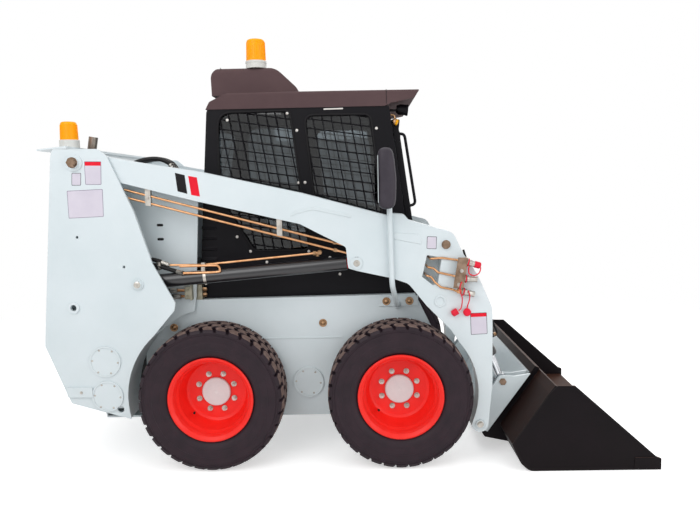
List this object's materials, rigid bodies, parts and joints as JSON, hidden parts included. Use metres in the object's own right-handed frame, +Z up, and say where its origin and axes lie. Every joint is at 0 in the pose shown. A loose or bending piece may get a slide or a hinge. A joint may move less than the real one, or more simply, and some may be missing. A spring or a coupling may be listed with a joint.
{
  "type": "skid steer loader",
  "caption": "Wheeled skid steer loader with an enclosed cab, two side arms that rise on lift cylinders, and a general purpose bucket on a quick-attach plate.",
  "frame": {"origin": "on the ground under the middle of the machine's box, on its centre plane", "axes": "+X forward to the bucket, +Y to the machine's left, +Z up"},
  "size_m": [3.162, 1.788, 2.29],
  "materials": {
    "white_paint": "semi-gloss",
    "dark_steel": "satin",
    "bare_steel": "zinc plated",
    "black_paint": "satin",
    "roof_paint": "matt",
    "seat_vinyl": "matt",
    "tinted_glass": "clear",
    "grey_plastic": "matt",
    "amber_lens": "clear",
    "mirror_shell": "matt",
    "lamp_lens": "clear",
    "chrome_rod": "polished",
    "tyre": "matt",
    "rim_paint": "semi-gloss"
  },
  "bodies": {
    "chassis": {"main_frame": "white_paint", "engine_deck": "white_paint", "rear_cover": "white_paint", "tower_right": "white_paint", "tower_left": "white_paint", "axle_tubes": "dark_steel", "engine": "dark_steel", "exhaust": "bare_steel", "valve_block": "bare_steel", "cab_side_right": "black_paint", "cab_side_left": "black_paint", "cab_rear": "black_paint", "cab_front": "black_paint", "cab_roof": "roof_paint", "roof_unit": "roof_paint", "seat": "seat_vinyl", "cab_glass": "tinted_glass", "beacon_bases": "grey_plastic", "beacon_domes": "amber_lens", "mirrors": "mirror_shell", "lamps": "lamp_lens"},
    "boom": {"arm_right": "white_paint", "arm_left": "white_paint", "boom_cross": "white_paint", "boom_lines": "bare_steel"},
    "bucket": {"quick_attach": "white_paint", "bucket_shell": "black_paint"},
    "door": {"front_door": "black_paint"},
    "rear_gate": {"tailgate": "white_paint"},
    "lid": {"engine_lid": "white_paint"},
    "lift_cylinder_right": {"lift_barrel_right": "black_paint"},
    "lift_ram_right": {"lift_rod_right": "chrome_rod"},
    "tilt_cylinder_right": {"tilt_barrel_right": "black_paint"},
    "tilt_ram_right": {"tilt_rod_right": "chrome_rod"},
    "lift_cylinder_left": {"lift_barrel_left": "black_paint"},
    "lift_ram_left": {"lift_rod_left": "chrome_rod"},
    "tilt_cylinder_left": {"tilt_barrel_left": "black_paint"},
    "tilt_ram_left": {"tilt_rod_left": "chrome_rod"},
    "wheel_front_right": {"tyre_front_right": "tyre", "rim_front_right": "rim_paint"},
    "wheel_rear_right": {"tyre_rear_right": "tyre", "rim_rear_right": "rim_paint"},
    "wheel_front_left": {"tyre_front_left": "tyre", "rim_front_left": "rim_paint"},
    "wheel_rear_left": {"tyre_rear_left": "tyre", "rim_rear_left": "rim_paint"}
  },
  "joints": [
    {"name": "boom_lift", "type": "hinge", "parent": "chassis", "child": "boom", "pos_m": [-1.36102, 0, 1.605], "axis": [0, -1, 0], "range_deg": [0, 60]},
    {"name": "bucket_tilt", "type": "hinge", "parent": "boom", "child": "bucket", "pos_m": [0.68898, 0, 0.21], "axis": [0, 1, 0], "range_deg": [-28, 98]},
    {"name": "lift_swing_right", "type": "hinge", "parent": "chassis", "child": "lift_cylinder_right", "pos_m": [-1.06502, -0.69, 0.978], "axis": [0, -1, 0], "range_deg": [0, 57]},
    {"name": "lift_stroke_right", "type": "slide", "parent": "lift_cylinder_right", "child": "lift_ram_right", "axis": [0.997, 0, 0.078], "range_m": [0, 0.69]},
    {"name": "tilt_swing_right", "type": "hinge", "parent": "boom", "child": "tilt_cylinder_right", "pos_m": [0.51698, -0.58, 1.154], "axis": [0, 1, 0], "range_deg": [-1.5, 3.9]},
    {"name": "tilt_stroke_right", "type": "slide", "parent": "tilt_cylinder_right", "child": "tilt_ram_right", "axis": [0.3846, 0, -0.9231], "range_m": [-0.1, 0.345]},
    {"name": "lift_swing_left", "type": "hinge", "parent": "chassis", "child": "lift_cylinder_left", "pos_m": [-1.06502, 0.69, 0.978], "axis": [0, -1, 0], "range_deg": [0, 57]},
    {"name": "lift_stroke_left", "type": "slide", "parent": "lift_cylinder_left", "child": "lift_ram_left", "axis": [0.997, 0, 0.078], "range_m": [0, 0.69]},
    {"name": "tilt_swing_left", "type": "hinge", "parent": "boom", "child": "tilt_cylinder_left", "pos_m": [0.51698, 0.58, 1.154], "axis": [0, 1, 0], "range_deg": [-1.5, 3.9]},
    {"name": "tilt_stroke_left", "type": "slide", "parent": "tilt_cylinder_left", "child": "tilt_ram_left", "axis": [0.3846, 0, -0.9231], "range_m": [-0.1, 0.345]},
    {"name": "door_hinge", "type": "hinge", "parent": "chassis", "child": "door", "pos_m": [0.3361, 0.466, 1.40321], "axis": [-0.1338, 0, 0.991], "range_deg": [0, 90]},
    {"name": "gate_hinge", "type": "hinge", "parent": "chassis", "child": "rear_gate", "pos_m": [-1.54702, 0.572, 1.00107], "axis": [-0.0888, 0, -0.9961], "range_deg": [0, 100]},
    {"name": "lid_hinge", "type": "hinge", "parent": "chassis", "child": "lid", "pos_m": [-0.98302, 0, 1.4836], "axis": [0, 1, 0], "range_deg": [0, 55]},
    {"name": "wheel_spin_front_right", "type": "hinge", "parent": "chassis", "child": "wheel_front_right", "pos_m": [0.27398, -0.7, 0.378], "axis": [0, 1, 0], "continuous": true},
    {"name": "wheel_spin_rear_right", "type": "hinge", "parent": "chassis", "child": "wheel_rear_right", "pos_m": [-0.70602, -0.7, 0.378], "axis": [0, 1, 0], "continuous": true},
    {"name": "wheel_spin_front_left", "type": "hinge", "parent": "chassis", "child": "wheel_front_left", "pos_m": [0.27398, 0.7, 0.378], "axis": [0, 1, 0], "continuous": true},
    {"name": "wheel_spin_rear_left", "type": "hinge", "parent": "chassis", "child": "wheel_rear_left", "pos_m": [-0.70602, 0.7, 0.378], "axis": [0, 1, 0], "continuous": true}
  ],
  "couplings": [
    {"joint": "lift_swing_right", "follows": "boom_lift", "ratio": 0.94167},
    {"joint": "lift_stroke_right", "follows": "boom_lift", "m_per_rad": 0.65682},
    {"joint": "tilt_swing_right", "follows": "bucket_tilt", "ratio": 0.035},
    {"joint": "tilt_stroke_right", "follows": "bucket_tilt", "m_per_rad": 0.20059},
    {"joint": "lift_swing_left", "follows": "boom_lift", "ratio": 0.94167},
    {"joint": "lift_stroke_left", "follows": "boom_lift", "m_per_rad": 0.65682},
    {"joint": "tilt_swing_left", "follows": "bucket_tilt", "ratio": 0.035},
    {"joint": "tilt_stroke_left", "follows": "bucket_tilt", "m_per_rad": 0.20059}
  ]
}
